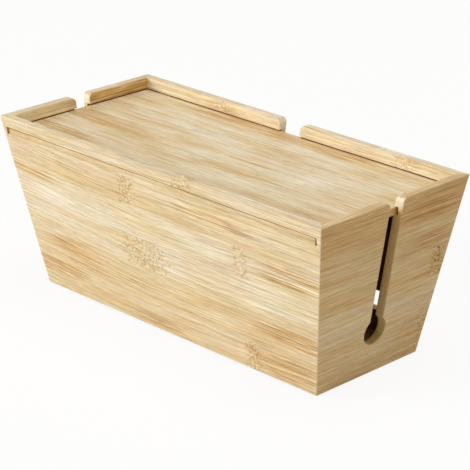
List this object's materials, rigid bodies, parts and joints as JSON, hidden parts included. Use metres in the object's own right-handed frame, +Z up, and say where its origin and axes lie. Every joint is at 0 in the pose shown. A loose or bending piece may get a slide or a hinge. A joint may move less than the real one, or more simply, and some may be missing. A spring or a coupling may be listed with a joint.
{
  "type": "cable management box",
  "caption": "Bamboo cable box with walls that lean out, mitred corners, a lid that slides out to the front, open cable slots ending in round holes, and rubber feet.",
  "frame": {"origin": "on the table under the middle of the box, level with the underside of the feet", "axes": "+X along the length to the right end, +Y to the back, +Z up; the lid slides out towards -Y"},
  "size_m": [0.3296, 0.1496, 0.1365],
  "materials": {
    "bamboo_wall": "satin clear lacquer on laminated bamboo, grain level round the box",
    "bamboo_lid": "satin clear lacquer on laminated bamboo, grain along the length",
    "bamboo_base": "plain sanded bamboo, grain along the length",
    "rubber_foot": "matte"
  },
  "bodies": {
    "box": {"front_wall": "bamboo_wall", "back_wall": "bamboo_wall", "left_end_wall": "bamboo_wall", "right_end_wall": "bamboo_wall", "base_panel": "bamboo_base", "foot_front_left": "rubber_foot", "foot_front_right": "rubber_foot", "foot_back_left": "rubber_foot", "foot_back_right": "rubber_foot"},
    "lid": {"sliding_lid": "bamboo_lid"}
  },
  "joints": [
    {"name": "lid_slide", "type": "slide", "parent": "box", "child": "lid", "axis": [0, -1, 0], "range_m": [0, 0.15]}
  ]
}
